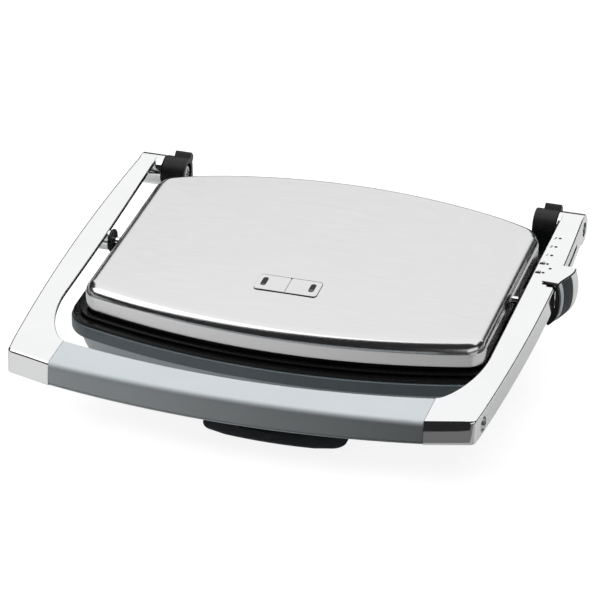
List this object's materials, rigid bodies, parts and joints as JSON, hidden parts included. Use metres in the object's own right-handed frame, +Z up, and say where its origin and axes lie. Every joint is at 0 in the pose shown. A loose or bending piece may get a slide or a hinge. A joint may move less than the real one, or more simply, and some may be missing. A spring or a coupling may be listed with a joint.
{
  "type": "panini press",
  "caption": "Low contact grill with a floating ribbed upper hotplate under a domed lid, carried by side arms and a front grip, with a pull-out drip tray and a height stop.",
  "frame": {"origin": "centre of the closed press's bounding box, at the level of the feet's soles", "axes": "+X to the right as seen from the grip, +Y from the grip to the hinges, +Z up"},
  "size_m": [0.3878, 0.3594, 0.1076],
  "materials": {
    "brushed_steel": "brushed stainless sheet",
    "chrome": "polished bright chrome on a die casting",
    "zinc_steel": "zinc-plated steel",
    "slate_plastic": "satin slate-blue moulded plastic",
    "grip_plastic": "satin blue-grey moulded plastic",
    "strip_plastic": "smooth pale blue-grey moulded plastic",
    "black_plastic": "satin black glass-filled plastic",
    "tray_plastic": "dark grey moulded plastic",
    "ceramic_coat": "die-cast aluminium with a black ceramic coating",
    "rubber": "moulded rubber",
    "bronze": "sintered bronze",
    "lens": "dark tinted clear plastic",
    "aluminium": "pressed aluminium sheet",
    "steatite": "unglazed ceramic insulator",
    "silicone": "grey silicone rubber"
  },
  "bodies": {
    "base": {"base_housing": "slate_plastic", "base_cover": "black_plastic", "foot_front_left": "rubber", "foot_front_right": "rubber", "foot_rear_left": "rubber", "foot_rear_right": "rubber", "base_screw_front_left": "zinc_steel", "base_screw_front_right": "zinc_steel", "base_screw_rear_left": "zinc_steel", "base_screw_rear_right": "zinc_steel", "lower_plate": "ceramic_coat", "drain_tube": "silicone", "lower_reflector": "aluminium", "lower_element": "zinc_steel", "lower_thermostat": "steatite", "thermal_fuse": "silicone", "terminal_block": "steatite", "cord_gland": "rubber", "hinge_column_left": "black_plastic", "hinge_column_right": "black_plastic", "hinge_pin_left": "zinc_steel", "hinge_pin_right": "zinc_steel", "tray_rail_left": "black_plastic", "tray_rail_right": "black_plastic"},
    "tray": {"drip_tray": "tray_plastic"},
    "arms": {"left_arm": "chrome", "right_arm": "chrome", "grip_upper": "grip_plastic", "grip_lower": "grip_plastic", "grip_bar": "zinc_steel", "grip_screw_left": "zinc_steel", "grip_screw_right": "zinc_steel", "hinge_bush_left": "bronze", "hinge_bush_right": "bronze", "pivot_bush_left": "bronze", "pivot_bush_right": "bronze", "pivot_washer_left": "black_plastic", "pivot_washer_right": "black_plastic", "detent_plate": "zinc_steel"},
    "slider": {"slider_body": "chrome", "slider_liner": "black_plastic", "slider_strip": "strip_plastic", "slider_grip": "rubber", "slider_pin": "zinc_steel"},
    "lid": {"lid_cover": "brushed_steel", "lid_frame": "black_plastic", "upper_plate": "ceramic_coat", "upper_element": "zinc_steel", "upper_reflector": "aluminium", "upper_thermostat": "steatite", "indicator_plate": "brushed_steel", "power_lens": "lens", "ready_lens": "lens", "lamp_board": "tray_plastic", "pivot_pin_left": "chrome", "pivot_pin_right": "chrome"}
  },
  "joints": [
    {"name": "arm_hinge", "type": "hinge", "parent": "base", "child": "arms", "pos_m": [-0.006, 0.1653, 0.0895], "axis": [-1, 0, 0], "range_deg": [0, 105]},
    {"name": "lid_pivot", "type": "hinge", "parent": "arms", "child": "lid", "pos_m": [-0.006, 0.0378, 0.092], "axis": [1, 0, 0], "range_deg": [0, 8.4]},
    {"name": "height_slide", "type": "slide", "parent": "arms", "child": "slider", "axis": [0, 1, 0], "range_m": [0, 0.0572]},
    {"name": "tray_slide", "type": "slide", "parent": "base", "child": "tray", "axis": [0, -1, 0], "range_m": [0, 0.105]}
  ],
  "couplings": [
    {"joint": "lid_pivot", "follows": "arm_hinge", "ratio": 0.08}
  ]
}
